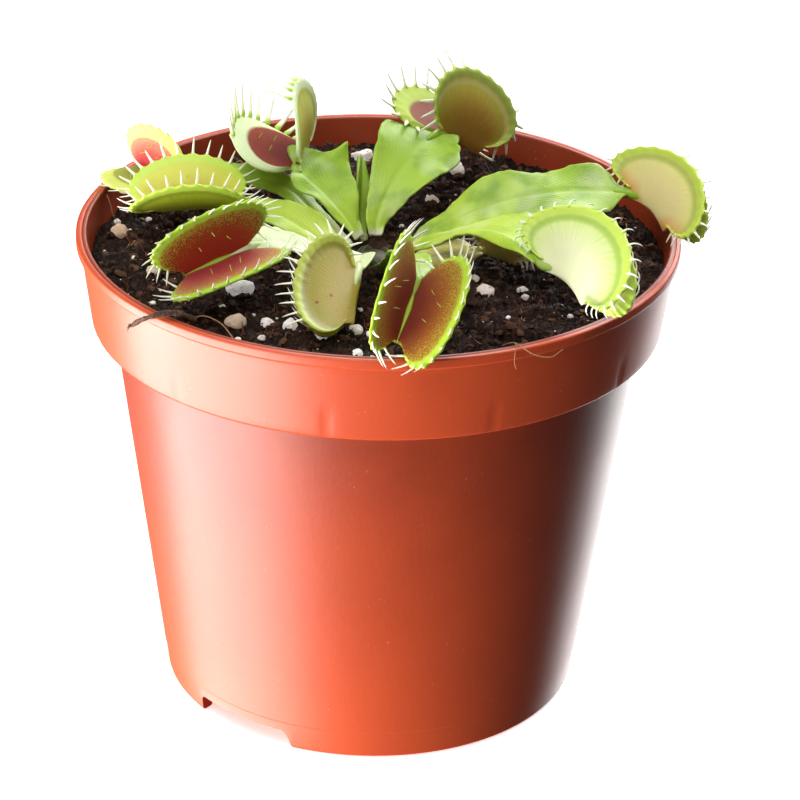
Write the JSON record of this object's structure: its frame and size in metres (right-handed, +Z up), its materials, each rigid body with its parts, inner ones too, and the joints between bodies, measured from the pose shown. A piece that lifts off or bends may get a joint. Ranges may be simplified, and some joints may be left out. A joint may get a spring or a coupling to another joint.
{
  "type": "potted venus flytrap",
  "caption": "Venus flytrap with winged leaves that end in toothed two-lobed traps, planted in dark soil in a round nursery pot with a deep collar.",
  "frame": {"origin": "middle of the pot's underside, on the surface it stands on", "axes": "+Z up along the pot's axis, -Y towards the side that the picture shows, +X to that side's right"},
  "size_m": [0.0945, 0.0959, 0.092],
  "materials": {
    "pot": "moulded terracotta-orange plastic, satin",
    "soil": "dark moist peat with fibres and pale perlite grains",
    "crown": "living plant, pale green, smooth",
    "leaf": "living leaf, satin, green with red insides of the traps",
    "dry_leaf": "withered leaf, yellowed and dull",
    "twig": "dark dry wood"
  },
  "bodies": {
    "root": {"pot": "pot", "soil": "soil", "crown": "crown", "leaf_left": "leaf", "leaf_far_left": "leaf", "leaf_back_left": "leaf", "leaf_back": "leaf", "leaf_right": "leaf", "leaf_front_right": "leaf", "leaf_front": "leaf", "leaf_front_left": "leaf", "leaf_near_left": "leaf", "leaf_withered": "dry_leaf", "leaf_young": "leaf", "twig": "twig"}
  },
  "joints": []
}
